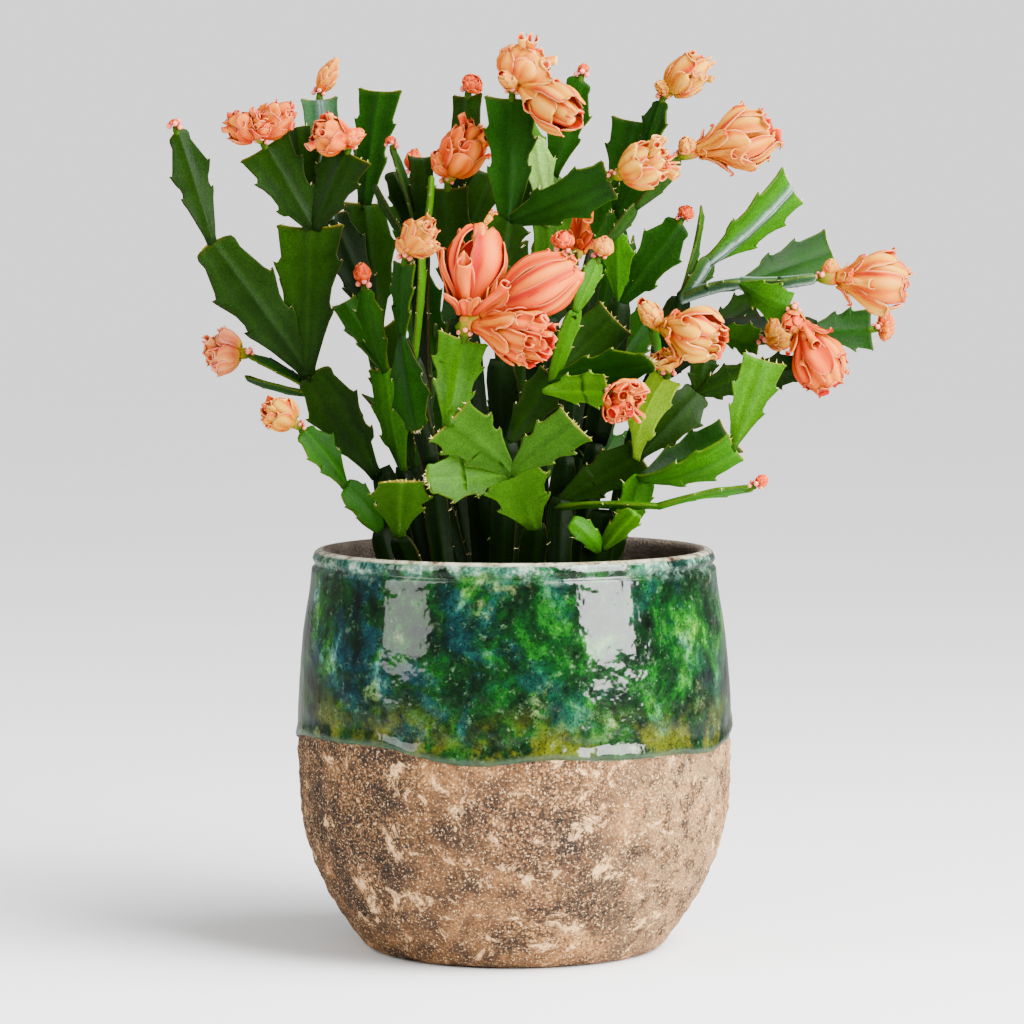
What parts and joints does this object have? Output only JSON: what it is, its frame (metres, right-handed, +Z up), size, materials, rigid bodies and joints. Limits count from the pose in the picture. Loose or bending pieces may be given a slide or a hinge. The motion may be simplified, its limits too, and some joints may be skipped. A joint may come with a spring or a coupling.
{
  "type": "potted christmas cactus",
  "caption": "Christmas cactus in flower: flat toothed leaf pads in arching chains, tipped with layered coral blooms, set in soil in a turned stoneware pot with a wavy-edged green glaze.",
  "frame": {"origin": "centre of the pot's flat base, on the surface it stands on", "axes": "+Z up along the pot's axis; -Y towards the side that shows the most flowers; +X to the right as seen from there"},
  "size_m": [0.3095, 0.2153, 0.3743],
  "materials": {
    "pot_glaze": "gloss",
    "soil": "matte",
    "leaf_dark": "satin",
    "leaf_mid": "satin",
    "leaf_bright": "satin",
    "leaf_matte": "satin",
    "petal_coral": "satin",
    "petal_peach": "satin",
    "petal_rose": "satin",
    "petal_amber": "satin",
    "petal_cream": "satin"
  },
  "bodies": {
    "root": {"pot": "pot_glaze", "soil": "soil", "stem_low_left": "leaf_bright", "stem_far_left": "leaf_dark", "stem_front_left": "leaf_matte", "stem_left_inner": "leaf_bright", "stem_left_back": "leaf_dark", "stem_left_slim": "leaf_bright", "stem_left_front": "leaf_mid", "stem_left_tall": "leaf_dark", "stem_centre_left": "leaf_dark", "stem_centre": "leaf_dark", "stem_front": "leaf_matte", "stem_centre_back": "leaf_matte", "stem_right_back": "leaf_mid", "stem_right_slim": "leaf_bright", "stem_right_inner": "leaf_bright", "stem_right": "leaf_bright", "stem_middle": "leaf_dark", "stem_right_mid": "leaf_dark", "stem_right_front": "leaf_bright", "stem_low_right": "leaf_bright", "stem_rear_left": "leaf_mid", "stem_rear": "leaf_dark", "stem_rear_right": "leaf_mid", "blooms_front": "petal_coral", "blooms_crown": "petal_coral", "blooms_centre_left": "petal_peach", "bud_crown_left": "petal_rose", "blooms_inner_left": "petal_peach", "bud_left_inner": "petal_rose", "blooms_left_top": "petal_coral", "blooms_left_second": "petal_coral", "bud_left_tall": "petal_peach", "bloom_left_side": "petal_rose", "bloom_low_left": "petal_amber", "bud_far_left": "petal_rose", "bud_left_slim": "petal_rose", "bloom_right_upper": "petal_peach", "bud_centre_back": "petal_rose", "bloom_right_top": "petal_peach", "bloom_right_high": "petal_peach", "bud_right_slim": "petal_peach", "bud_middle": "petal_rose", "bud_right_inner": "petal_rose", "bloom_far_right": "petal_peach", "bloom_hanging": "petal_coral", "bloom_right_middle": "petal_amber", "buds_right_end": "petal_coral", "bloom_right_front": "petal_peach", "bloom_right_low": "petal_cream", "bloom_middle_low": "petal_coral", "buds_low_right": "petal_rose", "bloom_rear_left": "petal_peach", "bloom_rear": "petal_coral", "bloom_rear_low": "petal_peach", "bud_rear_left": "petal_rose", "buds_rear_right": "petal_coral"}
  },
  "joints": []
}
